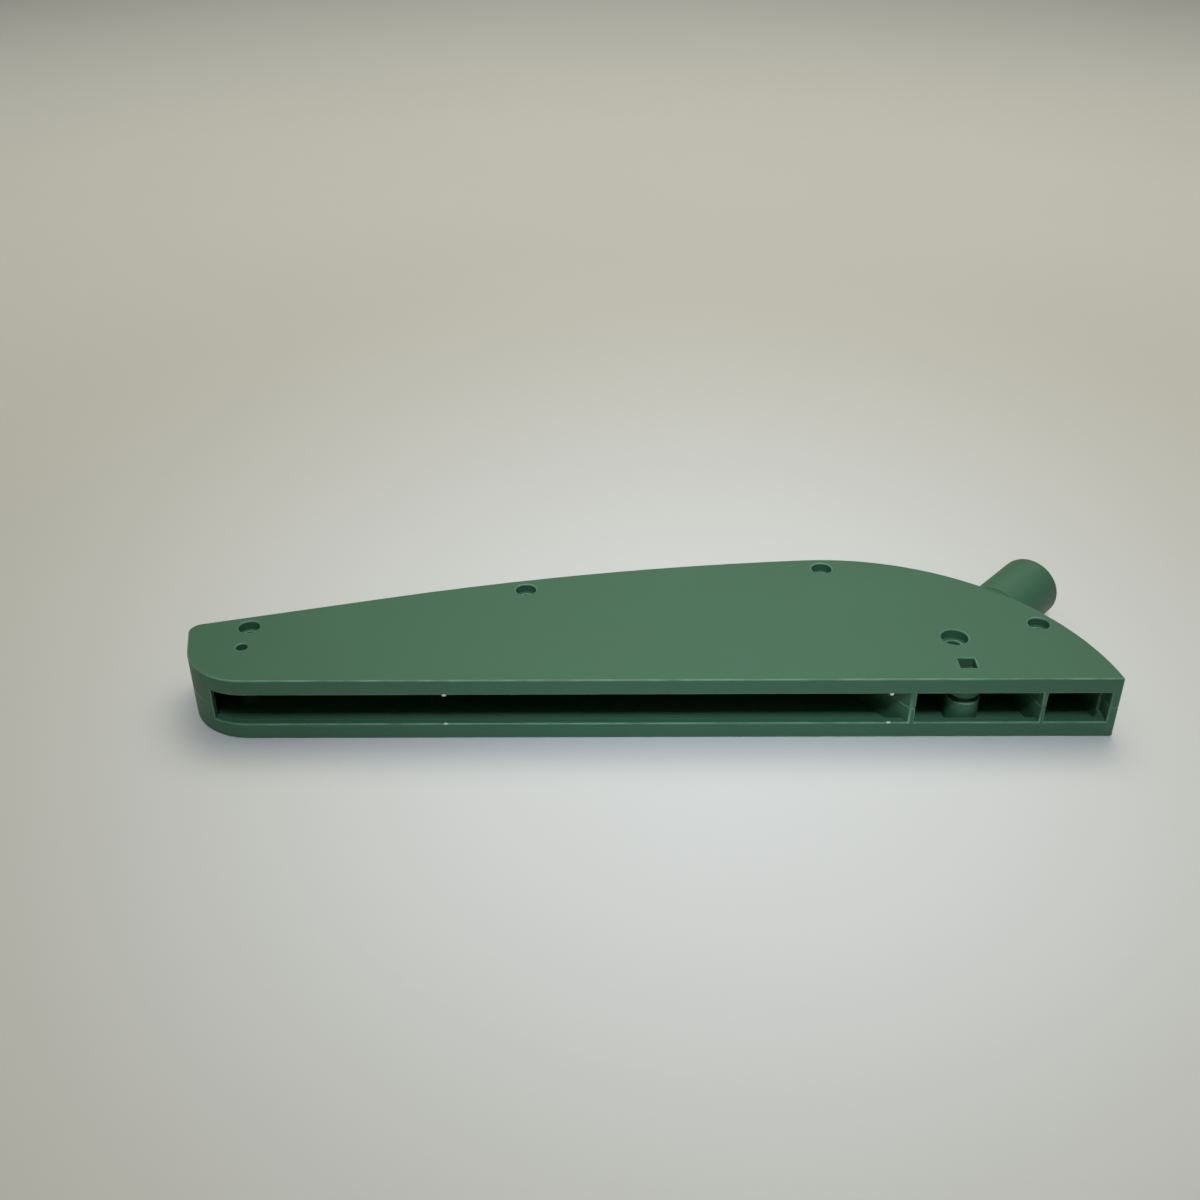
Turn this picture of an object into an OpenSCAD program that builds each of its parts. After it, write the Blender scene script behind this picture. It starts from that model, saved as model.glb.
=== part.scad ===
// Clamshell saw blade guard: two moulded half shells screwed together.
// It lies on its left side. The open edge for the blade faces -Y, the nose
// points along -X, the dust port is at the rear, and Z runs through the guard.

/* [Outline] */
// Distance along the open edge from the heel to the sharp nose corner
nose_x = 480; // [400:1:580]
// Height of the nose corner above the open edge
nose_y = 51; // [46:1:62]
// Height of the crown above the open edge
guard_h = 118; // [98:1:142]
// Radius of the arc over heel and crown
crown_r = 138; // [125:1:170]
// Angle past the crown's top at which the long back curve takes over
crown_end = 4; // [1:0.5:6]
// Share of the fullest possible curve that the back edge takes
back_bow = 0.9; // [0.5:0.05:0.95]
// Rake of the nose's front edge, in degrees
nose_rake = 12.5; // [5:0.5:18]
// Radius of the nose's lower arc
nose_r = 34.4; // [30:0.2:40]
// Radius of the nose's upper corner
corner_r = 7; // [5.5:0.5:9]

/* [Shell] */
// Thickness of the closed guard, over both shells
guard_t = 36; // [36:1:44]
// Thickness of the side plates
plate_t = 3; // [2:0.1:4]
// Thickness of the wall round the edge
wall_t = 4.5; // [3.5:0.1:5]
// Height of the lip that stiffens each side of the open edge
lip_h = 9.1; // [6:0.1:12]
// How far the full wall runs back from the nose corner
nose_wall = 21.4; // [16:0.2:26]
// Thickness of the heel's end wall at the open edge
heel_wall = 4.7; // [4:0.1:7]

/* [Dust port] */
// Outer diameter of the port
port_d = 35; // [30:0.2:35]
// Wall of the port
port_wall = 3; // [2:0.1:4]
// Length of the port beyond the guard's edge
port_len = 45.6; // [30:0.2:60]
// Outer diameter of the collar that stops the hose
collar_d = 35.6; // [35.2:0.1:36]
// Length of the collar beyond the guard's edge
collar_len = 3; // [2:0.5:8]
// Direction of the port above the open edge, in degrees
port_a = 48.3; // [44:0.1:54]

/* [Riving knife pocket] */
// Distance of the upper bolt from the heel
bolt_x = 76.7; // [72:0.1:82]
// Height of the upper bolt above the open edge
bolt_y = 37.9; // [34:0.1:44]
// Distance of the square pocket from the heel
square_x = 75.3; // [72:0.1:82]
// Height of the square pocket above the open edge
square_y = 14.4; // [12:0.1:17]
// Hole for an M8 bolt
bolt_hole_d = 8.4; // [8.2:0.1:8.8]
// Recess for the bolt's button head
bolt_head_d = 14; // [13.4:0.1:15]
// Depth of the recess for the button head
bolt_head_depth = 5; // [4.4:0.1:7]
// Side of the square pocket that holds a coach bolt's neck
square_w = 8.5; // [8.3:0.1:9]
// Depth of the square pocket
square_depth = 5.5; // [4:0.1:7]
// Gap between the two pads, where the riving knife goes
knife_gap = 3; // [2.4:0.1:4]
// Wall of plastic round each bolt
pad_wall = 2.6; // [2:0.1:3.2]
// Thickness of the two ribs beside the pocket, at the parting face
rib_t = 2.2; // [1.6:0.1:3]
// How much thicker a rib is where it meets the plate
rib_draft = 0.6; // [0:0.1:1]
// Distance of the front rib's tip from the heel
front_rib_x = 103.5; // [98:0.5:110]
// Direction of the front rib, in degrees from +X
front_rib_a = 126; // [118:1:130]
// Length of the front rib
front_rib_len = 62; // [50:1:70]
// Distance of the rear rib's tip from the heel
rear_rib_x = 37.6; // [34:0.2:42]
// Direction of the rear rib, in degrees from +X
rear_rib_a = 103; // [98:1:106]
// Length of the rear rib
rear_rib_len = 56; // [45:1:62]

/* [Screws and inserts] */
// Distance of every screw from the guard's edge
screw_inset = 9.8; // [9.2:0.1:11]
// Distance of the nose screw from the nose corner, along the edge
nose_screw = 31; // [27:0.5:38]
// Distance of the middle screw from the heel
mid_screw_x = 302.6; // [270:0.1:330]
// Place of the crown screw on the crown arc, in degrees
crown_screw_a = 90; // [80:1:92]
// Place of the heel screw on the crown arc, in degrees
heel_screw_a = 33.4; // [28:0.1:35]
// Diameter of the screw's shank
screw_d = 5; // [4:0.1:6]
// Length of the shank below the head
screw_len = 22; // [20:0.5:24]
// Diameter of the screw's head
head_d = 9.2; // [8:0.1:10]
// Height of the screw's head
head_h = 3.2; // [2.4:0.1:4]
// Width across flats of the hexagon socket
socket_w = 3; // [2.5:0.5:4]
// Depth of the hexagon socket
socket_depth = 2; // [1.4:0.1:2.2]
// Diameter of the recess round each head
recess_d = 11.1; // [10.6:0.1:12]
// Depth of the recess round each head
recess_depth = 4.5; // [4:0.1:5.5]
// Outer diameter of a threaded insert
insert_d = 7; // [6.6:0.1:7.6]
// Length of a threaded insert
insert_len = 10; // [8:0.5:11]
// Wall of the boss round an insert
boss_wall = 2.6; // [2:0.1:3.2]

/* [Nose pin hole] */
// Diameter of the plain hole through the nose
pin_hole_d = 5.9; // [5:0.1:6.5]
// Distance of the hole from the nose corner, along the open edge
pin_hole_x = 32.8; // [30:0.1:36]
// Height of the hole above the open edge
pin_hole_y = 30.7; // [28:0.1:33]

/* [Fits] */
// Clearance all round a screw in its plain hole
screw_gap = 0.25; // [0.15:0.05:0.5]
// Running clearance all round a screw in its insert
thread_gap = 0.05; // [0.02:0.01:0.1]

/* [Hidden] */
$fn = 96;
over = 1;                 // how far a cut runs past the face it opens
half_t = guard_t / 2;     // one shell, from the parting face to its plate

function unit(a) = [cos(a), sin(a)];

// Centres and tangent points of the outline, seen from the heel corner
crown_c = [-sqrt(pow(crown_r, 2) - pow(crown_r - guard_h, 2)), guard_h - crown_r];
crown_end_n = unit(90 + crown_end);
crown_end_p = crown_c + crown_r * crown_end_n;
corner_p = [-nose_x, nose_y];
chord = corner_p - crown_end_p;
back_r = back_bow * (chord * chord) / (-2 * (chord * crown_end_n));
back_c = crown_c + (crown_r - back_r) * crown_end_n;
to_corner = corner_p - back_c;
back_a = atan2(to_corner.y, to_corner.x) - acos(back_r / norm(to_corner));
back_n = unit(back_a);
nose_n = -unit(nose_rake);
nose_c = [
    corner_p.x + (nose_r + sin(nose_rake) * (nose_y - nose_r)) / cos(nose_rake),
    nose_r
];
corner_c = corner_p - corner_r * (back_n + nose_n) / (1 + back_n * nose_n);

// The part's origin: the middle of the guard's box, under it
port_r = port_d / 2;
port_bore_r = port_r - port_wall;
port_reach = crown_r + port_len;
port_corner = crown_c + port_reach * unit(port_a);
x_min = corner_c.x - corner_r;
x_max = max(0, port_corner.x + port_r * sin(port_a));
y_max = max(guard_h, port_corner.y + port_r * cos(port_a));
origin = [(x_min + x_max) / 2, y_max / 2];

// Places of the screws, the knife bolts and the nose hole
along_back = [back_n.y, -back_n.x];
mid_screw_a = acos((-mid_screw_x - back_c.x) / (back_r - screw_inset));
nose_screw_p = corner_p + nose_screw * along_back - screw_inset * back_n;
mid_screw_p = back_c + (back_r - screw_inset) * unit(mid_screw_a);
crown_screw_p = crown_c + (crown_r - screw_inset) * unit(crown_screw_a);
heel_screw_p = crown_c + (crown_r - screw_inset) * unit(heel_screw_a);
screw_places = [nose_screw_p, mid_screw_p, crown_screw_p, heel_screw_p];
bolt_p = [-bolt_x, bolt_y];
square_p = [-square_x, square_y];
pin_hole_p = [-nose_x + pin_hole_x, pin_hole_y];

// Sizes that follow from the fits
boss_r = insert_d / 2 + boss_wall;
bolt_pad_r = bolt_head_d / 2 + pad_wall;
square_pad_r = square_w / sqrt(2) + pad_wall;
notch_x = -nose_x + nose_wall;
notch_y = nose_r - sqrt(pow(nose_r - wall_t, 2) - pow(notch_x - nose_c.x, 2));

// The guard's outline, moved inwards by inset
module outline(inset) {
    back_end = back_c + (back_r - inset) * back_n;
    back_start = crown_c + (crown_r - inset) * crown_end_n;
    intersection() {
        translate(crown_c) circle(r = crown_r - inset);
        translate([-2 * crown_r, inset]) square(2 * crown_r);
    }
    intersection() {
        translate(back_c) circle(r = back_r - inset, $fn = 720);
        translate([back_end.x, inset]) square([back_start.x - back_end.x, 2 * guard_h]);
    }
    polygon([
        [back_end.x, inset],
        back_end,
        corner_c + (corner_r - inset) * back_n,
        corner_c + (corner_r - inset) * nose_n,
        nose_c + (nose_r - inset) * nose_n,
        [nose_c.x, inset]
    ]);
    translate(corner_c) circle(r = corner_r - inset);
    intersection() {
        translate(nose_c) circle(r = nose_r - inset);
        translate([nose_c.x - nose_r, 0]) square(nose_r);
    }
}

// Full-height wall round nose, back and heel; only a lip along the open edge
module edge_wall() {
    difference() {
        linear_extrude(half_t) outline(0);
        translate([0, 0, -over]) linear_extrude(half_t - plate_t + over) outline(wall_t);
        translate([notch_x, -over, -over])
            cube([-heel_wall - notch_x, notch_y + over, half_t - lip_h + over]);
    }
}

// A rib that stands on the plate, from the open edge inwards, a little
// thicker at its foot
module rib(tip_x, angle, length) {
    foot = rib_t / 2 + rib_draft / 2;
    intersection() {
        translate([-tip_x, 0, 0]) rotate([0, 0, angle]) translate([-length / 4, 0, 0])
            rotate([90, 0, 90]) linear_extrude(length * 5 / 4) polygon([
                [-rib_t / 2, 0],
                [rib_t / 2, 0],
                [foot, half_t - plate_t / 2],
                [-foot, half_t - plate_t / 2]
            ]);
        linear_extrude(half_t) outline(0);
    }
}

// A round post on the plate, with its face at the height z
module post(place, r, z) {
    translate([place.x, place.y, z]) cylinder(r = r, h = half_t - plate_t / 2 - z);
}

module through(place, r) {
    translate([place.x, place.y, -over]) cylinder(r = r, h = half_t + 2 * over);
}

module recess(place, r, depth) {
    translate([place.x, place.y, half_t - depth]) cylinder(r = r, h = depth + over);
}

// Two bolt pads joined by a web, for the riving knife
module knife_pads() {
    face = knife_gap / 2;
    post(bolt_p, bolt_pad_r, face);
    post(square_p, square_pad_r, face);
    translate([square_p.x - square_pad_r, square_p.y, face])
        cube([2 * square_pad_r, bolt_p.y - square_p.y, half_t - plate_t / 2 - face]);
}

// Half of the dust port's pipe, above the parting face
module port_half(r, from, to) {
    translate(crown_c) rotate([0, 0, port_a]) intersection() {
        translate([from, 0, 0]) rotate([0, 90, 0]) cylinder(r = r, h = to - from);
        translate([from, -r - over, 0]) cube([to - from, 2 * (r + over), r + over]);
    }
}

// One half shell: parting face at z = 0, outer face at z = half_t. The bosses
// of the shell with the inserts have a wider pocket at the parting face.
module half_shell(with_inserts) {
    difference() {
        union() {
            edge_wall();
            port_half(port_r, crown_r - wall_t / 2, port_reach);
            port_half(collar_d / 2, crown_r - wall_t / 2, crown_r + collar_len);
            rib(front_rib_x, front_rib_a, front_rib_len);
            rib(rear_rib_x, rear_rib_a, rear_rib_len);
            knife_pads();
            for (place = screw_places) post(place, boss_r, 0);
            post(pin_hole_p, pin_hole_d / 2 + boss_wall, 0);
        }
        translate(crown_c) rotate([0, 0, port_a]) translate([crown_r - 2 * wall_t, 0, 0])
            rotate([0, 90, 0]) cylinder(r = port_bore_r, h = port_len + 2 * wall_t + over);
        for (place = screw_places) {
            through(place, screw_d / 2 + screw_gap);
            recess(place, recess_d / 2, recess_depth);
            if (with_inserts) {
                translate([place.x, place.y, -over])
                    cylinder(d = insert_d, h = insert_len + over);
            }
        }
        through(bolt_p, bolt_hole_d / 2);
        recess(bolt_p, bolt_head_d / 2, bolt_head_depth);
        through(square_p, bolt_hole_d / 2);
        translate([square_p.x, square_p.y, half_t - square_depth / 2 + over / 2])
            cube([square_w, square_w, square_depth + over], center = true);
        through(pin_hole_p, pin_hole_d / 2);
    }
}

// Cap screw, put in from the left side: head in its recess, shank upwards
module screw(place) {
    socket_r = socket_w / sqrt(3);
    translate([place.x, place.y, recess_depth]) difference() {
        union() {
            cylinder(d = screw_d, h = screw_len);
            translate([0, 0, -head_h]) cylinder(d = head_d, h = head_h);
        }
        translate([0, 0, -head_h - over]) cylinder(r = socket_r, h = socket_depth + over, $fn = 6);
    }
}

// Threaded insert, pressed into the right shell's boss, flush with its face
module insert(place) {
    translate([place.x, place.y, half_t]) difference() {
        cylinder(d = insert_d, h = insert_len);
        translate([0, 0, -over]) cylinder(r = screw_d / 2 + thread_gap, h = insert_len + 2 * over);
    }
}

// Moves a piece from the heel corner's frame to the part's own
module placed() {
    translate([-origin.x, -origin.y, 0]) children();
}

module left_shell() {
    color("darkseagreen") placed() translate([0, 0, half_t]) mirror([0, 0, 1])
        half_shell(false);
}

module right_shell() {
    color("seagreen") placed() translate([0, 0, half_t]) half_shell(true);
}

module screw_nose() { color("gray") placed() screw(nose_screw_p); }
module screw_mid() { color("gray") placed() screw(mid_screw_p); }
module screw_crown() { color("gray") placed() screw(crown_screw_p); }
module screw_heel() { color("gray") placed() screw(heel_screw_p); }
module insert_nose() { color("goldenrod") placed() insert(nose_screw_p); }
module insert_mid() { color("goldenrod") placed() insert(mid_screw_p); }
module insert_crown() { color("goldenrod") placed() insert(crown_screw_p); }
module insert_heel() { color("goldenrod") placed() insert(heel_screw_p); }

left_shell();
right_shell();
screw_nose();
screw_mid();
screw_crown();
screw_heel();
insert_nose();
insert_mid();
insert_crown();
insert_heel();
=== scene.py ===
# %% [markdown]
# # A table saw's blade guard
# The guard is a fin of green plastic that hangs over a saw blade. It is made
# of two moulded half shells, four screws and the four threaded inserts that
# the screws bite into. The CAD model gives every size and place, so this
# lesson only adds what CAD leaves out: soft moulded edges, threads, knurls,
# the small marks that a mould leaves, and the finishes.

# %% Load the CAD model and keep its box
import math
import bmesh
import bpy
from mathutils import Matrix, Vector


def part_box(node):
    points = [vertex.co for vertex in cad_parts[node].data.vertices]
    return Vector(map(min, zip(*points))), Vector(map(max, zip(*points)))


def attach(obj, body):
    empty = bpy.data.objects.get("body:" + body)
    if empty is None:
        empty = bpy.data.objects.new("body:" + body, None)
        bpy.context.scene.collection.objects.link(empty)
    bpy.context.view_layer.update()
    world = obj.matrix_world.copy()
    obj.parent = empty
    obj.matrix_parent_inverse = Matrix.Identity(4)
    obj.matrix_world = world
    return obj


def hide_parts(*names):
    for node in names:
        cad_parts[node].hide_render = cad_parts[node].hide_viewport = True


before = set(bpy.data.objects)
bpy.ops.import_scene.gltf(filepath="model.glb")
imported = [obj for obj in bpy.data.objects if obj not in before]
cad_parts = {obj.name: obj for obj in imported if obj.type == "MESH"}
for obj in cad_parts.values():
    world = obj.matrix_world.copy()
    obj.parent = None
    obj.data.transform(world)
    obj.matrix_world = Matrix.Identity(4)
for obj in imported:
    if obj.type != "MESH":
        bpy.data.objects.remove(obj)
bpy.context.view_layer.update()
MM = 0.001

# %% [markdown]
# ## Places
# The two shells meet at the parting face, half way up. The heel is the sharp
# corner where the open edge ends, and most places are easiest to say from
# there: so far towards the nose, so far up the guard.

# %% Parting face, heel and screw axes
left_low, left_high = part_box("left_shell")
right_low, right_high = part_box("right_shell")
parting_z = right_low.z
heel = Vector((right_high.x, right_low.y, parting_z))
PLACES = ["nose", "mid", "crown", "heel"]


def axis_of(node):
    """The middle of a round node, seen from above."""
    low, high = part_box(node)
    return (low.x + high.x) / 2, (low.y + high.y) / 2


print("heel corner:", [round(v / MM, 1) for v in heel])

# %% [markdown]
# ## Two small helpers
# A colour is easiest to pick as the hex code of what the eye sees, but the
# renderer counts light, so one function turns the code into linear values.
# The other one adds a node to a tree, with its settings and its links, and
# serves materials and Geometry Nodes alike.

# %% Colour and node helpers
def colour(code):
    """Linear RGBA from an sRGB hex code, with the numbers of the sRGB standard."""
    parts = [int(code[i:i + 2], 16) / 255 for i in (0, 2, 4)]
    linear = [p / 12.92 if p <= 0.04045 else ((p + 0.055) / 1.055) ** 2.4 for p in parts]
    return linear + [1]


def add(tree, kind, inputs=(), **settings):
    """A new node of that kind; inputs are (socket, value or output) pairs."""
    node = tree.nodes.new(kind)
    for key, value in settings.items():
        setattr(node, key, value)
    for key, value in inputs:
        if isinstance(value, bpy.types.NodeSocket):
            tree.links.new(value, node.inputs[key])
        else:
            node.inputs[key].default_value = value
    return node


def new_material(name):
    """An empty node material, its shader and its output already joined."""
    material = bpy.data.materials.new(name)
    material.use_nodes = True
    tree = material.node_tree
    tree.nodes.clear()
    shader = add(tree, "ShaderNodeBsdfPrincipled")
    add(tree, "ShaderNodeOutputMaterial", [("Surface", shader.outputs["BSDF"])])
    return material, tree, shader


print("a middle grey is", round(colour("808080")[0], 3), "of full light")

# %% [markdown]
# ## Moulded ABS
# The shells are ABS, a tough plastic that is injected hot into a steel
# mould. The mould is spark-eroded, which leaves a fine even grain, so the
# plastic shines softly and never sharply. The pigment isn't perfectly even,
# and handling leaves faint paler scuffs. The rounded edges get a painted
# highlight: their colour is made paler in patches, where light would catch them.
# The real grain is about 0.15 mm, too fine to show, so it is drawn at 0.8 mm.
# The rounded edges are told apart by a number that is stored on the mesh's faces.

# %% The green of the shells
GRAIN = 0.8 * MM
GRAIN_DEPTH = 0.03 * MM
PIGMENT_PATCH = 60 * MM
SCUFF_WIDTH = 0.5 * MM
SCUFF_LENGTH = 30 * MM
SCUFF_TURN = 0.5
HIGHLIGHT_PATCHES_PER_METRE = 90
ABS_IOR = 1.53
# The name of the face number that marks where the painted edge highlight goes
EDGE_HIGHLIGHT = "painted_edge_highlight"
# A Mix node has one set of sockets for numbers and one for colours
MIX_FACTOR, MIX_A, MIX_B, MIX_RESULT = 0, 6, 7, 2


def moulded_abs(name, deep, fair, highlight_and_scuff):
    """Satin moulded ABS in a deep and a fair tone; a third, paler tone goes on the scuffs and
    is the painted highlight on the rounded edges.
    """
    material, tree, shader = new_material(name)
    place = add(tree, "ShaderNodeTexCoord").outputs["Object"]
    patches = add(tree, "ShaderNodeTexNoise", [
        ("Vector", place), ("Scale", 1 / PIGMENT_PATCH), ("Detail", 4), ("Roughness", 0.6)])
    pigment = add(tree, "ShaderNodeMix", [
        (MIX_FACTOR, patches.outputs["Fac"]), (MIX_A, colour(deep)), (MIX_B, colour(fair))],
        data_type="RGBA")
    turned = add(tree, "ShaderNodeMapping", [
        ("Vector", place), ("Rotation", (0, 0, SCUFF_TURN)),
        ("Scale", (1 / SCUFF_LENGTH, 1 / SCUFF_WIDTH, 1 / SCUFF_WIDTH))])
    streaks = add(tree, "ShaderNodeTexNoise", [
        ("Vector", turned.outputs["Vector"]), ("Scale", 1), ("Detail", 2)])
    scuffs = add(tree, "ShaderNodeMapRange", [
        ("Value", streaks.outputs["Fac"]), ("From Min", 0.66), ("From Max", 0.8),
        ("To Max", 0.25)])
    # Painted highlight: the marked faces of the rounding are made paler in patches
    edge_highlight = add(tree, "ShaderNodeAttribute", attribute_name=EDGE_HIGHLIGHT)
    highlight_noise = add(tree, "ShaderNodeTexNoise", [
        ("Vector", place), ("Scale", HIGHLIGHT_PATCHES_PER_METRE), ("Detail", 5)])
    highlight_patches = add(tree, "ShaderNodeMapRange", [
        ("Value", highlight_noise.outputs["Fac"]), ("From Min", 0.3), ("From Max", 0.6),
        ("To Min", 0.2)])
    painted_highlight_mask = add(tree, "ShaderNodeMath", [
        (0, edge_highlight.outputs["Fac"]), (1, highlight_patches.outputs["Result"])], operation="MULTIPLY")
    # The paler tone goes on the scuffs and is the painted highlight on the edges
    highlight_and_scuff_mask = add(tree, "ShaderNodeMath", [
        (0, painted_highlight_mask.outputs["Value"]), (1, scuffs.outputs["Result"])], operation="MAXIMUM")
    tone = add(tree, "ShaderNodeMix", [
        (MIX_FACTOR, highlight_and_scuff_mask.outputs["Value"]), (MIX_A, pigment.outputs[MIX_RESULT]),
        (MIX_B, colour(highlight_and_scuff))], data_type="RGBA")
    grain = add(tree, "ShaderNodeTexNoise", [
        ("Vector", place), ("Scale", 1 / GRAIN), ("Detail", 3), ("Roughness", 0.7)])
    gloss = add(tree, "ShaderNodeMapRange", [
        ("Value", patches.outputs["Fac"]), ("From Min", 0.3), ("From Max", 0.7),
        ("To Min", 0.5), ("To Max", 0.6)])
    bump = add(tree, "ShaderNodeBump", [
        ("Height", grain.outputs["Fac"]), ("Strength", 0.25), ("Distance", GRAIN_DEPTH)])
    tree.links.new(tone.outputs[MIX_RESULT], shader.inputs["Base Color"])
    tree.links.new(gloss.outputs["Result"], shader.inputs["Roughness"])
    tree.links.new(bump.outputs["Normal"], shader.inputs["Normal"])
    shader.inputs["IOR"].default_value = ABS_IOR
    shader.inputs["Specular IOR Level"].default_value = 0.4
    return material


# The pigment's deep and fair tones, then the pale tone of the scuffs and the painted edge
# highlight
green_abs = moulded_abs("moulded green ABS", "3a6447", "406c4f", "658f74")
print(green_abs.name, "has", len(green_abs.node_tree.nodes), "nodes")

# %% [markdown]
# ## Metals
# The screws are steel with a thin bright zinc plating, a little uneven in
# tone. The inserts are free-cutting brass, turned on a lathe, so fine rings
# from the tool run round them. Both are true metals, so only the colour of
# the reflection, the roughness and the small bumps are set.

# %% Zinc-plated steel and turned brass
PLATING_PATCH = 2 * MM
TOOL_MARK = 0.25 * MM
METAL_RELIEF = 0.02 * MM


def plated_steel(name, dull, bright):
    """Zinc-plated steel: patches of two tones, slightly rough."""
    material, tree, shader = new_material(name)
    place = add(tree, "ShaderNodeTexCoord").outputs["Object"]
    patches = add(tree, "ShaderNodeTexNoise", [
        ("Vector", place), ("Scale", 1 / PLATING_PATCH), ("Detail", 5)])
    tones = add(tree, "ShaderNodeValToRGB", [("Fac", patches.outputs["Fac"])])
    tones.color_ramp.elements[0].color = colour(dull)
    tones.color_ramp.elements[1].color = colour(bright)
    rough = add(tree, "ShaderNodeMapRange", [
        ("Value", patches.outputs["Fac"]), ("To Min", 0.28), ("To Max", 0.45)])
    bump = add(tree, "ShaderNodeBump", [
        ("Height", patches.outputs["Fac"]), ("Strength", 0.2), ("Distance", METAL_RELIEF)])
    tree.links.new(tones.outputs["Color"], shader.inputs["Base Color"])
    tree.links.new(rough.outputs["Result"], shader.inputs["Roughness"])
    tree.links.new(bump.outputs["Normal"], shader.inputs["Normal"])
    shader.inputs["Metallic"].default_value = 1
    return material


def turned_brass(name, dull, bright):
    """Turned brass: fine rings across the axis, which runs along Z."""
    material, tree, shader = new_material(name)
    place = add(tree, "ShaderNodeTexCoord").outputs["Object"]
    rings = add(tree, "ShaderNodeTexWave", [
        ("Vector", place), ("Scale", 1 / (2 * math.pi * TOOL_MARK)),
        ("Distortion", 0.4), ("Detail", 1)],
        bands_direction="Z")
    tones = add(tree, "ShaderNodeValToRGB", [("Fac", rings.outputs["Fac"])])
    tones.color_ramp.elements[0].color = colour(dull)
    tones.color_ramp.elements[1].color = colour(bright)
    bump = add(tree, "ShaderNodeBump", [
        ("Height", rings.outputs["Fac"]), ("Strength", 0.3), ("Distance", METAL_RELIEF)])
    tree.links.new(tones.outputs["Color"], shader.inputs["Base Color"])
    tree.links.new(bump.outputs["Normal"], shader.inputs["Normal"])
    shader.inputs["Metallic"].default_value = 1
    shader.inputs["Roughness"].default_value = 0.3
    return material


zinc_steel = plated_steel("zinc-plated steel", "9a9a96", "c9cac8")
brass = turned_brass("turned brass", "9c7a3c", "cfae68")
print("metals:", zinc_steel.name, "and", brass.name)

# %% [markdown]
# ## The shells
# Each shell is one moulding: a flat plate with a wall round the nose, the back
# and the heel, a lip along the open edge, ribs, bosses and half of the port.
# A moulded part has no sharp edges: the mould's own corners are rounded, and
# plastic doesn't fill a sharp one. That thin round edge is what catches the
# light and makes a shell look like a real one. The CAD shell has the right
# shape with sharp edges. It could be rounded by a Bevel modifier, but then the
# faces of the rounding can't be told from the rest, so the bevel is made with
# bmesh, which hands back the new faces. They get the number by which the
# plastic's material paints them paler, as a painted highlight. Only edges that
# stick out are rounded: corners inside the shell are hardly seen, so they stay
# as they are and get no painted highlight.

# %% Sizes of the rounding, and where it doesn't fit
EDGE_RADIUS = 0.7 * MM
EDGE_STEPS = 3
SHARP = math.radians(28)
FLAT = math.radians(0.4)
TOO_CLOSE = 0.02 * MM
# The port's axis starts at the centre of the crown's arc. The collar at its
# root lies this far along the axis and this far from it.
PORT_ANGLE = math.radians(48.3)
crown_centre = heel + Vector((-136.5, -20, 0)) * MM
port_axis = Vector((math.cos(PORT_ANGLE), math.sin(PORT_ANGLE), 0))
COLLAR_ALONG = (134 * MM, 142 * MM)
COLLAR_ACROSS = (17 * MM, 18.5 * MM)
# In mm from the heel: the rim of the hole in the square pocket's floor, and
# the narrow end of the ledge behind the lip
TIGHT_PLACES = [((-82, 8, 12.2), (-69, 21, 12.8)), ((-7, 4.6, 8.6), (0, 10.5, 9.2))]


def in_tight_place(edge):
    """True where there is less room than the rounding needs."""
    middle = ((edge.verts[0].co + edge.verts[1].co) / 2 - heel) / MM
    spot = (middle.x, middle.y, abs(middle.z))
    for low, high in TIGHT_PLACES:
        if all(a < b < c for a, b, c in zip(low, spot, high)):
            return True
    for vert in edge.verts:
        arm = vert.co - crown_centre
        along = arm.dot(port_axis)
        across = (arm - port_axis * along).length
        if (COLLAR_ALONG[0] < along < COLLAR_ALONG[1]
                and COLLAR_ACROSS[0] < across < COLLAR_ACROSS[1]):
            return True
    return False


print("edges are rounded by", round(EDGE_RADIUS / MM, 2), "mm in", EDGE_STEPS, "steps")

# %% [markdown]
# ## Rounding, step by step
# The CAD mesh is many thin triangles. Points closer than the thickness of a
# hair are merged and flat triangles are joined to whole faces first, so that
# the bevel only meets true edges. Last, weighted normals let the large flat
# faces decide the shading, and the plate stays even right up to its rounding.

# %% Round a shell's edges and mark them for the painted highlight
def rounded_shell(node, name, material):
    """A copy of a CAD shell with rounded edges, as a new object."""
    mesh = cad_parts[node].data.copy()
    mesh.name = name
    shape = bmesh.new()
    shape.from_mesh(mesh)
    # A number on each face: 1 where the painted edge highlight goes
    edge_highlight = shape.faces.layers.float.new(EDGE_HIGHLIGHT)
    bmesh.ops.remove_doubles(shape, verts=shape.verts, dist=TOO_CLOSE)
    bmesh.ops.dissolve_limit(shape, angle_limit=FLAT, verts=shape.verts, edges=shape.edges)
    edges = [e for e in shape.edges
             if e.is_convex and e.calc_face_angle() > SHARP and not in_tight_place(e)]
    made = bmesh.ops.bevel(
        shape, geom=edges, offset=EDGE_RADIUS, segments=EDGE_STEPS, profile=0.5,
        affect="EDGES", offset_type="OFFSET", clamp_overlap=False)
    # The new faces of the rounding get the painted edge highlight
    for face in made["faces"]:
        face[edge_highlight] = 1
    for face in shape.faces:
        face.smooth = True
    shape.to_mesh(mesh)
    shape.free()
    mesh.materials.clear()
    mesh.materials.append(material)
    mesh.set_sharp_from_angle(angle=SHARP)
    obj = bpy.data.objects.new(name, mesh)
    bpy.context.scene.collection.objects.link(obj)
    weighted = obj.modifiers.new("even light on flat faces", "WEIGHTED_NORMAL")
    weighted.weight, weighted.keep_sharp = 100, True
    graph = bpy.context.evaluated_depsgraph_get()
    obj.data = bpy.data.meshes.new_from_object(obj.evaluated_get(graph))
    obj.modifiers.clear()
    # Count the faces marked for the painted edge highlight
    highlight_and_scuff = sum(value.value > 0 for value in obj.data.attributes[EDGE_HIGHLIGHT].data)
    print(name, "rounded", len(edges), "edges,", highlight_and_scuff, "rubbed faces of",
          len(obj.data.polygons))
    return obj


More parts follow.
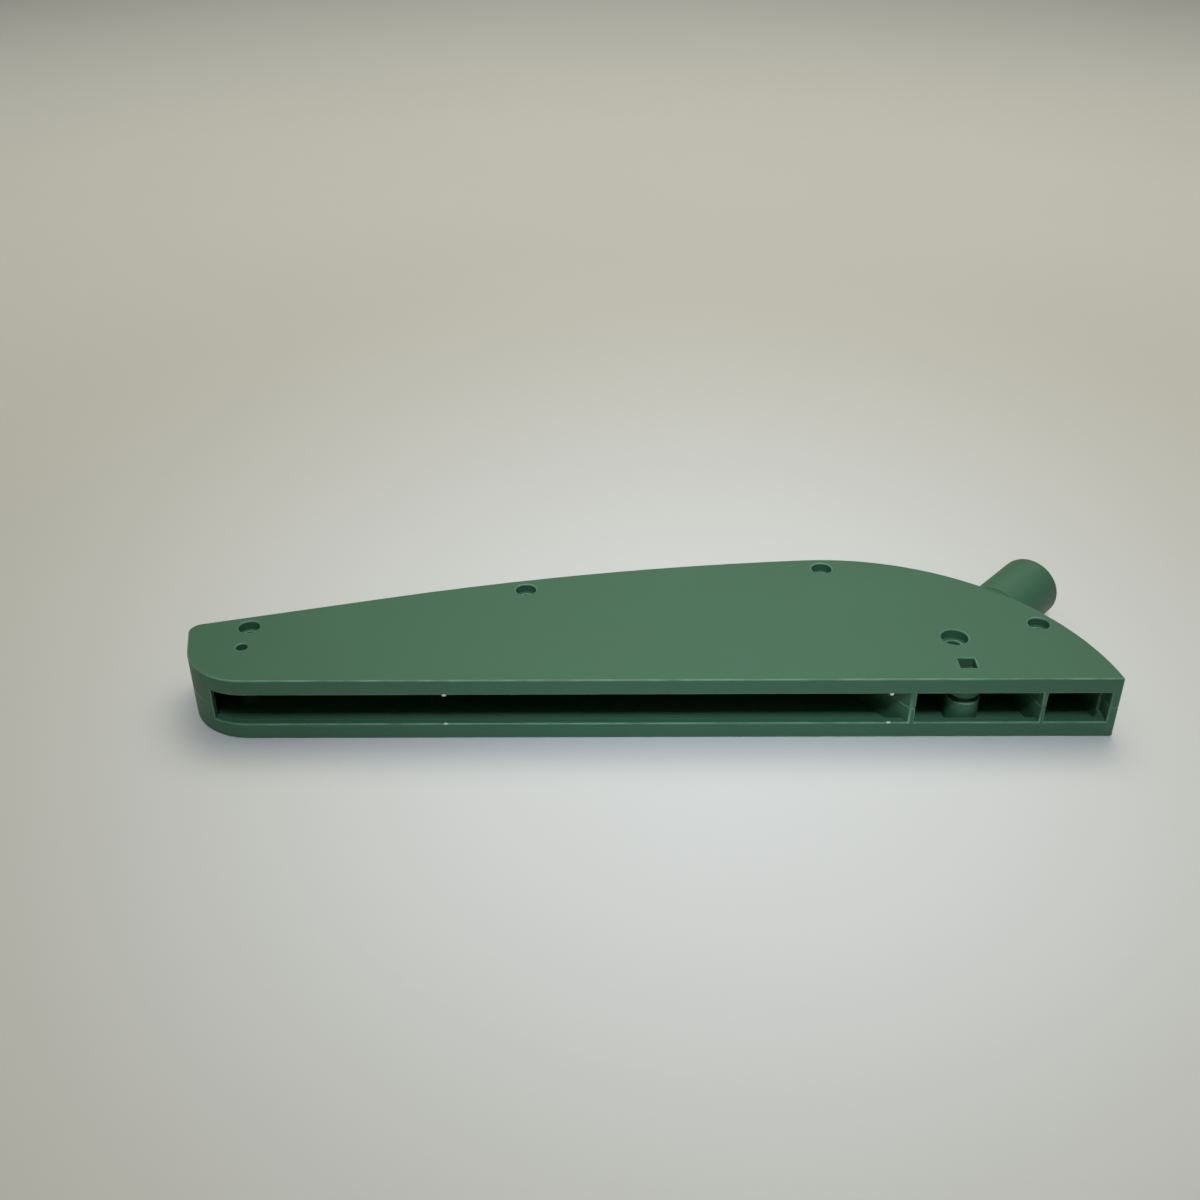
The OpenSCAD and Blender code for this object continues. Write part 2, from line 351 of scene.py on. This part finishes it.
left_moulding = rounded_shell("left_shell", "left_moulding", green_abs)
right_moulding = rounded_shell("right_shell", "right_moulding", green_abs)

# %% [markdown]
# ## Geometry Nodes for what repeats
# A thread is one ridge that follows a helix, and a knurl is one ridge set many
# times round a circle. Geometry Nodes makes both from a few named numbers. The
# result is turned to a plain mesh at once, so nothing is left to recompute.
# The ridges could be cut into the blank with booleans instead, but that is slow
# and fragile on such small teeth, and nobody sees where a ridge meets the core.

# %% Helpers that set up and run a node group
def geometry_group(name, labels):
    """A new geometry group with float inputs, and its input node."""
    tree = bpy.data.node_groups.new(name, "GeometryNodeTree")
    tree.interface.new_socket("Geometry", in_out="INPUT", socket_type="NodeSocketGeometry")
    for label in labels:
        tree.interface.new_socket(label, in_out="INPUT", socket_type="NodeSocketFloat")
    tree.interface.new_socket("Geometry", in_out="OUTPUT", socket_type="NodeSocketGeometry")
    return tree, add(tree, "NodeGroupInput").outputs


def finish_group(tree, parts, material):
    """Join the parts, realize the instances, set the material and put it out."""
    joined = add(tree, "GeometryNodeJoinGeometry")
    for part in parts:
        tree.links.new(part, joined.inputs["Geometry"])
    real = add(tree, "GeometryNodeRealizeInstances", [("Geometry", joined.outputs["Geometry"])])
    painted = add(tree, "GeometryNodeSetMaterial", [
        ("Geometry", real.outputs["Geometry"]), ("Material", material)])
    add(tree, "NodeGroupOutput", [("Geometry", painted.outputs["Geometry"])])


def grown(mesh, tree, values):
    """The plain mesh that a node group makes out of a mesh."""
    obj = bpy.data.objects.new(tree.name, mesh)
    bpy.context.scene.collection.objects.link(obj)
    modifier = obj.modifiers.new(tree.name, "NODES")
    modifier.node_group = tree
    for socket in tree.interface.items_tree:
        if socket.in_out == "INPUT" and socket.name in values:
            modifier[socket.identifier] = values[socket.name]
    graph = bpy.context.evaluated_depsgraph_get()
    made = bpy.data.meshes.new_from_object(obj.evaluated_get(graph))
    bpy.data.objects.remove(obj)
    return made


print("helpers ready:", [f.__name__ for f in (geometry_group, finish_group, grown)])

# %% [markdown]
# ## Thread
# A rolled thread is one ridge that climbs round the core. It could be a stack
# of separate rings, which is simpler, but the start and the end of the ridge
# would be missing. So a small diamond is swept along a spiral that keeps its
# radius. Half of the diamond sinks into the core, and half of it shows.

# %% A thread on a helix
SPIRAL_STEPS = 32


def thread_group(material):
    """A ridge of diamond section that climbs round the Z axis."""
    tree, given = geometry_group(
        f"thread in {material.name}", ["Radius", "Pitch", "Start", "Turns"])
    height = add(tree, "ShaderNodeMath", [
        (0, given["Pitch"]), (1, given["Turns"])], operation="MULTIPLY")
    helix = add(tree, "GeometryNodeCurveSpiral", [
        ("Resolution", SPIRAL_STEPS), ("Rotations", given["Turns"]),
        ("Start Radius", given["Radius"]),
        ("End Radius", given["Radius"]), ("Height", height.outputs["Value"])])
    upright = add(tree, "GeometryNodeSetCurveNormal", [("Curve", helix.outputs["Curve"])])
    upright.mode = "Z_UP"
    half_pitch = add(tree, "ShaderNodeMath", [
        (0, given["Pitch"]), (1, 0.5)], operation="MULTIPLY")
    section = add(tree, "GeometryNodeCurvePrimitiveCircle", [
        ("Resolution", 4), ("Radius", half_pitch.outputs["Value"])])
    ridge = add(tree, "GeometryNodeCurveToMesh", [
        ("Curve", upright.outputs["Curve"]), ("Profile Curve", section.outputs["Curve"]),
        ("Fill Caps", True)])
    start = add(tree, "ShaderNodeCombineXYZ", [("Z", given["Start"])])
    raised = add(tree, "GeometryNodeTransform", [
        ("Geometry", ridge.outputs["Mesh"]), ("Translation", start.outputs["Vector"])])
    finish_group(tree, [given["Geometry"], raised.outputs["Geometry"]], material)
    return tree


steel_thread, brass_thread = thread_group(zinc_steel), thread_group(brass)
print("made:", steel_thread.name, "and", brass_thread.name)

# %% [markdown]
# ## Knurl
# A knurl is rolled into a head for the fingers and into an insert for grip in
# the plastic: the same straight ridge, many times round. An array turned about
# an empty could do it, but it takes a helper object. Here the ridge is set on
# the points of a circle, and each copy turns to face outwards.

# %% A knurl round a circle
def knurl_group(material):
    """Straight ridges of diamond section that stand round the Z axis."""
    tree, given = geometry_group(
        f"knurl in {material.name}", ["Radius", "Ridge Radius", "Start", "Length", "Ridges"])
    circle = add(tree, "GeometryNodeMeshCircle", [
        ("Vertices", given["Ridges"]), ("Radius", given["Radius"])])
    ridge = add(tree, "GeometryNodeMeshCone", [
        ("Vertices", 4), ("Radius Top", given["Ridge Radius"]),
        ("Radius Bottom", given["Ridge Radius"]), ("Depth", given["Length"])])
    aim = add(tree, "FunctionNodeAlignEulerToVector", [
        ("Vector", add(tree, "GeometryNodeInputPosition").outputs["Position"])], axis="X")
    around = add(tree, "GeometryNodeInstanceOnPoints", [
        ("Points", circle.outputs["Mesh"]), ("Instance", ridge.outputs["Mesh"]),
        ("Rotation", aim.outputs["Rotation"])])
    start = add(tree, "ShaderNodeCombineXYZ", [("Z", given["Start"])])
    raised = add(tree, "GeometryNodeTransform", [
        ("Geometry", around.outputs["Instances"]), ("Translation", start.outputs["Vector"])])
    finish_group(tree, [given["Geometry"], raised.outputs["Geometry"]], material)
    return tree


steel_knurl, brass_knurl = knurl_group(zinc_steel), knurl_group(brass)
print("made:", steel_knurl.name, "and", brass_knurl.name)

# %% [markdown]
# ## Turned parts
# The screws and the inserts are made on a lathe, so each starts as a stack of
# rings. A ring may also be a hexagon, which gives the socket for the key. The
# Spin tool could turn a profile instead, but it can't make a hexagon.

# %% Rings to a closed solid
RING_POINTS = 48


def ring_points(z, radius, sides=0):
    """Points of a ring; with sides, radius is half the width across flats."""
    for i in range(RING_POINTS):
        angle = math.tau * i / RING_POINTS
        reach = radius
        if sides:
            reach /= math.cos(angle % (math.tau / sides) - math.pi / sides)
        yield reach * math.cos(angle), reach * math.sin(angle), z


def turned(name, rings, hollow=False):
    """A closed mesh through the rings, in mm; hollow joins the last to the first."""
    shape = bmesh.new()
    loops = [[shape.verts.new(Vector(p) * MM) for p in ring_points(*ring)] for ring in rings]
    pairs = list(zip(loops, loops[1:]))
    if hollow:
        pairs.append((loops[-1], loops[0]))
    else:
        shape.faces.new(loops[0])
        shape.faces.new(loops[-1])
    for one, other in pairs:
        for i in range(RING_POINTS):
            shape.faces.new((one[i - 1], one[i], other[i], other[i - 1]))
    bmesh.ops.recalc_face_normals(shape, faces=shape.faces)
    mesh = bpy.data.meshes.new(name)
    shape.to_mesh(mesh)
    shape.free()
    return mesh


print("each ring has", RING_POINTS, "points")

# %% [markdown]
# ## One mesh in many places
# The four screws are equal, and so are the inserts. Each gets a mesh of its own
# with its place in the points, and the object stays at the origin, so that a
# pattern which follows the object's coordinates never slides.

# %% Put a copy on an axis
def placed(mesh, name, x, y):
    """A copy of a mesh, moved to an axis, as an object at the origin."""
    copy = mesh.copy()
    copy.transform(Matrix.Translation((x, y, 0)))
    copy.shade_smooth()
    copy.set_sharp_from_angle(angle=SHARP)
    obj = bpy.data.objects.new(name, copy)
    bpy.context.scene.collection.objects.link(obj)
    return obj


print("screw axes in mm:", {
    place: [round(v / MM, 1) for v in axis_of(f"screw_{place}")] for place in PLACES})

# %% [markdown]
# ## Cap screws
# Each is an M5 cap screw with a low knurled head and a hexagon socket. The
# screw is cold-headed, then the thread is rolled on, so only the end that
# bites has thread and the shank near the head is plain. The socket and the
# head have small chamfers, which give the bright rings that mark a screw.
# A screw from an add-on would do, but its sizes would have to be forced.

# %% Sizes of a cap screw, in mm
HEAD_TALL, PLAIN_SHANK, SOCKET_DEEP = 3.2, 6, 2
HEAD, SHANK, CORE = 4.45, 2.5, 2.1
SOCKET, HEXAGON = 1.5, 6
PITCH = 0.8
HEAD_RIDGES = 56


def heights(node):
    """The lowest and the highest point of a node, in mm above the floor."""
    low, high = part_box(node)
    return low.z / MM, high.z / MM


screw_low, screw_high = heights("screw_nose")
under_head = screw_low + HEAD_TALL
thread_start = under_head + PLAIN_SHANK
print("a screw runs from", round(screw_low, 1), "to", round(screw_high, 1), "mm")

# %% Cap screw blank, knurl and thread
# From the socket's floor, out over the head and up the shank to the tip
blank = turned("screw_blank", [
    (screw_low + SOCKET_DEEP, SOCKET, HEXAGON), (screw_low + 0.3, SOCKET, HEXAGON),
    (screw_low, 1.9), (screw_low, 4.1), (screw_low + 0.4, HEAD),
    (under_head - 0.1, HEAD), (under_head, 4.35), (under_head, 2.75),
    (under_head + 0.25, SHANK), (thread_start, SHANK), (thread_start + 0.4, CORE),
    (screw_high - 0.5, CORE), (screw_high, 1.7)])
knurled = grown(blank, steel_knurl, {
    "Radius": 4.43 * MM, "Ridge Radius": 0.17 * MM, "Start": (screw_low + 0.55) * MM,
    "Length": 2.4 * MM, "Ridges": HEAD_RIDGES})
screw_mesh = grown(knurled, steel_thread, {
    "Radius": CORE * MM, "Pitch": PITCH * MM, "Start": (thread_start + 0.5) * MM,
    "Turns": (screw_high - thread_start - 1.4) / PITCH})
screws = {
    place: placed(screw_mesh, f"cap_screw_{place}", *axis_of(f"screw_{place}"))
    for place in PLACES}
print("a screw has", len(screw_mesh.polygons), "faces")

# %% [markdown]
# ## Threaded inserts
# Brass inserts are pushed hot into the bosses of the right shell. Two knurled
# bands with a groove between them stop each one from turning and from pulling
# out. In use they are hidden: the lower face shows when the shells come apart.
# The blank is a closed ring of rings, so its bore is open, and the thread is
# the same spiral as the screw's, set on the wall of the bore.

# %% Insert blank, bands and inner thread
insert_low, insert_high = heights("insert_nose")
BORE, BODY, GROOVE = 2.93, 3.3, 3.1
BAND_RIDGES = 44
insert_blank = turned("insert_blank", [
    (insert_low, BORE), (insert_low, BODY), (insert_low + 0.2, 3.45),
    (insert_low + 0.6, 3.45), (insert_low + 0.8, BODY), (insert_low + 4.2, BODY),
    (insert_low + 4.5, GROOVE), (insert_low + 5.5, GROOVE), (insert_low + 5.8, BODY),
    (insert_high - 0.4, BODY), (insert_high, GROOVE), (insert_high, BORE)], hollow=True)
band = {"Radius": 3.28 * MM, "Ridge Radius": 0.19 * MM, "Length": 3.3 * MM,
        "Ridges": BAND_RIDGES}
lower_band = grown(insert_blank, brass_knurl, band | {"Start": (insert_low + 0.85) * MM})
both_bands = grown(lower_band, brass_knurl, band | {"Start": (insert_low + 6) * MM})
insert_mesh = grown(both_bands, brass_thread, {
    "Radius": BORE * MM, "Pitch": PITCH * MM, "Start": (insert_low + 0.5) * MM,
    "Turns": (insert_high - insert_low - 1) / PITCH})
inserts = {
    place: placed(insert_mesh, f"brass_insert_{place}", *axis_of(f"insert_{place}"))
    for place in PLACES}
print("an insert has", len(insert_mesh.polygons), "faces")

# %% [markdown]
# ## Marks of the mould
# Round pins push the shell out of the mould and leave flat discs on the plate's
# inner face. The plastic enters through thin gates at the lip: when they are
# broken off, a small torn nub stays, paler than the rest because ABS whitens
# where it is torn. Both shells came out of such a mould, so both have them.
# They could be modelled one by one, but a list of spots with one shape on each
# is easier to change. The spots are in mm from the heel.

# %% Spots and the torn plastic
PIN_SPOTS = [
    (-425, 18), (-380, 40), (-335, 20), (-335, 62), (-285, 40), (-240, 18),
    (-240, 75), (-190, 45), (-150, 18), (-150, 85), (-110, 62), (-20, 20)]
GATE_SPOTS = [(-340, 0), (-115, 0)]
PIN_MARK = {"Radius": 3 * MM, "Thickness": 0.12 * MM}
GATE_NUB = {"Radius": 0.8 * MM, "Roughness": 0.9 * MM}
NUB_SHAPE = (1.5, 0.45, 0.8)
TEARS_PER_METRE = 1.2 / MM
# The plate's thickness, and how far the gates lie from the outer face
PLATE, LIP = 3, 9.1
gate_white = moulded_abs("stress-whitened ABS", "b9c6b8", "dfe6da", "eef2ea")


def spots_mesh(spots, height):
    """Loose points, in mm from the heel, at a height in mm above the floor."""
    mesh = bpy.data.meshes.new("spots")
    points = [(heel.x + x * MM, heel.y + y * MM, height * MM) for x, y in spots]
    mesh.from_pydata(points, [], [])
    return mesh


print("pin marks:", len(PIN_SPOTS), "and gate nubs:", len(GATE_SPOTS), "on each shell")

# %% [markdown]
# ## Discs and nubs
# A pin mark is a disc so thin that only its rim catches the light. A torn nub
# starts as a small flattened ball, and noise with a fixed pattern pushes its
# points about. The pattern depends on the place, so no two nubs are alike.

# %% Node groups for the marks
def pin_group(material):
    """A low disc at every point."""
    tree, given = geometry_group("pin marks", ["Radius", "Thickness"])
    disc = add(tree, "GeometryNodeMeshCone", [
        ("Vertices", 32), ("Radius Top", given["Radius"]),
        ("Radius Bottom", given["Radius"]), ("Depth", given["Thickness"])])
    discs = add(tree, "GeometryNodeInstanceOnPoints", [
        ("Points", given["Geometry"]), ("Instance", disc.outputs["Mesh"])])
    finish_group(tree, [discs.outputs["Instances"]], material)
    return tree


def gate_group(material):
    """A torn nub at every point, each with its own shape."""
    tree, given = geometry_group("gate nubs", ["Radius", "Roughness"])
    ball = add(tree, "GeometryNodeMeshIcoSphere", [
        ("Radius", given["Radius"]), ("Subdivisions", 4)])
    nubs = add(tree, "GeometryNodeInstanceOnPoints", [
        ("Points", given["Geometry"]), ("Instance", ball.outputs["Mesh"]),
        ("Scale", NUB_SHAPE)])
    real = add(tree, "GeometryNodeRealizeInstances", [("Geometry", nubs.outputs["Instances"])])
    torn = add(tree, "ShaderNodeTexNoise", [("Scale", TEARS_PER_METRE), ("Detail", 3)])
    centred = add(tree, "ShaderNodeVectorMath", [
        (0, torn.outputs["Color"]), (1, (0.5, 0.5, 0.5))], operation="SUBTRACT")
    push = add(tree, "ShaderNodeVectorMath", [
        (0, centred.outputs["Vector"]), ("Scale", given["Roughness"])], operation="SCALE")
    place = add(tree, "GeometryNodeInputPosition")
    tree.links.new(place.outputs["Position"], torn.inputs["Vector"])
    ragged = add(tree, "GeometryNodeSetPosition", [
        ("Geometry", real.outputs["Geometry"]), ("Offset", push.outputs["Vector"])])
    finish_group(tree, [ragged.outputs["Geometry"]], material)
    return tree


pins, gates = pin_group(green_abs), gate_group(gate_white)
print("made:", pins.name, "and", gates.name)

# %% The marks of both shells
part_z = parting_z / MM
marks = {}
for side, outward in (("left", -1), ("right", 1)):
    plate_z = part_z + outward * (part_z - PLATE)
    lip_z = part_z + outward * (part_z - LIP)
    pin_mesh = grown(spots_mesh(PIN_SPOTS, plate_z), pins, PIN_MARK)
    nub_mesh = grown(spots_mesh(GATE_SPOTS, lip_z), gates, GATE_NUB)
    marks[side] = [placed(pin_mesh, f"{side}_pin_marks", 0, 0),
                   placed(nub_mesh, f"{side}_gate_nubs", 0, 0)]
    print(side, "plate face at", round(plate_z, 1), "mm, gates at", round(lip_z, 1), "mm")

# %% [markdown]
# ## Camera
# The camera stands in front of the open edge, above the guard, and looks down
# at it by about a third of a right angle. Its place is given from the heel.
# A Track To constraint could aim it, but three plain angles say the same.

# %% Camera
CAMERA_FROM_HEEL = Vector((-257.8, -548.6, 408.8)) * MM
LOOK_DOWN, LOOK_ASIDE, LEAN = (math.radians(a) for a in (32.065, 0.354, 0.371))
SENSOR_WIDTH, FOCAL_LENGTH = 36, 40.5
camera_data = bpy.data.cameras.new("camera")
camera_data.sensor_width = SENSOR_WIDTH
camera_data.lens = FOCAL_LENGTH
camera = bpy.data.objects.new("camera", camera_data)
bpy.context.scene.collection.objects.link(camera)
turn = (Matrix.Rotation(LOOK_ASIDE, 4, "Z") @ Matrix.Rotation(math.pi / 2 - LOOK_DOWN, 4, "X")
        @ Matrix.Rotation(-LEAN, 4, "Z"))
camera.matrix_world = Matrix.Translation(heel + CAMERA_FROM_HEEL) @ turn
bpy.context.scene.camera = camera
print("camera at mm:", [round(v / MM) for v in camera.location])

# %% [markdown]
# ## Floor and light
# A plain pale floor and soft studio light: a wide warm panel above and behind
# the guard, which draws a soft shadow towards the viewer, and a small cool one
# in front, which draws the thin line of shadow under the lip. Four more look
# straight down round the guard and only keep the floor evenly bright. A world
# light alone would be simpler, but it would fill every shadow.

# %% Helpers for the floor and the lights
FLOOR_SIDE = 8
FLOOR_GAP = 0.1 * MM


def floor_paint(name, tone_a, tone_b):
    """Matt pale paint, barely uneven."""
    material, tree, shader = new_material(name)
    place = add(tree, "ShaderNodeTexCoord").outputs["Object"]
    cloud = add(tree, "ShaderNodeTexNoise", [("Vector", place), ("Scale", 3), ("Detail", 3)])
    tones = add(tree, "ShaderNodeValToRGB", [("Fac", cloud.outputs["Fac"])])
    tones.color_ramp.elements[0].color = colour(tone_a)
    tones.color_ramp.elements[1].color = colour(tone_b)
    tree.links.new(tones.outputs["Color"], shader.inputs["Base Color"])
    shader.inputs["Roughness"].default_value = 0.6
    return material


def panel(name, place, target, side, watts, tint, spread):
    """A square soft light that looks at target, with a spread in degrees."""
    light = bpy.data.lights.new(name, "AREA")
    light.size = side
    light.spread = math.radians(spread)
    light.energy = watts
    light.color = colour(tint)[:3]
    obj = bpy.data.objects.new(name, light)
    aim = (Vector(target) - Vector(place)).to_track_quat("-Z", "Y")
    obj.matrix_world = Matrix.Translation(place) @ aim.to_matrix().to_4x4()
    bpy.context.scene.collection.objects.link(obj)


print("the floor is", FLOOR_SIDE, "m wide and", round(FLOOR_GAP / MM, 1), "mm below the guard")

# %% Floor
floor_mesh = bpy.data.meshes.new("floor")
half_side = FLOOR_SIDE / 2
CORNERS = ((-1, -1), (1, -1), (1, 1), (-1, 1))
floor_mesh.from_pydata(
    [(x * half_side, y * half_side, -FLOOR_GAP) for x, y in CORNERS], [], [(0, 1, 2, 3)])
floor_mesh.materials.append(floor_paint("matt pale paint", "d3d3cb", "d8d8d0"))
floor = bpy.data.objects.new("floor", floor_mesh)
bpy.context.scene.collection.objects.link(floor)
print("floor at", round(floor_mesh.vertices[0].co.z / MM, 1), "mm")

# %% Lights
panel("overhead", (0.15, 0.75, 1.7), (0, 0, 0), 1.5, 15.5, "fffaea", 180)
panel("front", (0.05, -1.0, 1.5), (0.04, 0, 0), 0.25, 0.55, "d8e4ff", 28)
WASHES = {"rear": (0, 2.3), "near": (0, -2.8), "west": (-2.4, 0.4), "east": (2.4, 0.4)}
WASH_HEIGHT, WASH_SIDE, WASH_WATTS, WASH_SPREAD = 2.4, 2.4, 13, 100
for way, (x, y) in WASHES.items():
    panel(f"floor wash {way}", (x, y, WASH_HEIGHT), (x, y, 0), WASH_SIDE, WASH_WATTS,
          "f6f5ee", WASH_SPREAD)
# The world gives little light, but is itself seen brighter behind the floor
WORLD_LIGHT, WORLD_SEEN = 0.1, 0.6
world = bpy.data.worlds.new("studio")
world.use_nodes = True
sky = world.node_tree
seen = add(sky, "ShaderNodeLightPath").outputs["Is Camera Ray"]
strength = add(sky, "ShaderNodeMapRange", [
    ("Value", seen), ("To Min", WORLD_LIGHT), ("To Max", WORLD_SEEN)])
sky.nodes["Background"].inputs["Color"].default_value = colour("eceff2")
sky.links.new(strength.outputs["Result"], sky.nodes["Background"].inputs["Strength"])
bpy.context.scene.world = world
bpy.context.scene.view_settings.view_transform = "Standard"
print("lights:", sorted(light.name for light in bpy.data.lights))

# %% [markdown]
# ## Every piece on its body
# The finished pieces stand for the CAD nodes and move with the same bodies:
# the inserts sit fast in the right half, and each screw turns on its own. The
# marks of the mould belong to the shell that they are on.

def belongs(piece, body, node):
    """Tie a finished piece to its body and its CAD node."""
    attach(piece, body)
    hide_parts(node)


for piece in [left_moulding] + marks["left"]:
    belongs(piece, "left_shell", "left_shell")
for piece in [right_moulding] + marks["right"]:
    belongs(piece, "right_half", "right_shell")
for place in PLACES:
    belongs(screws[place], f"screw_{place}", f"screw_{place}")
    belongs(inserts[place], "right_half", f"insert_{place}")
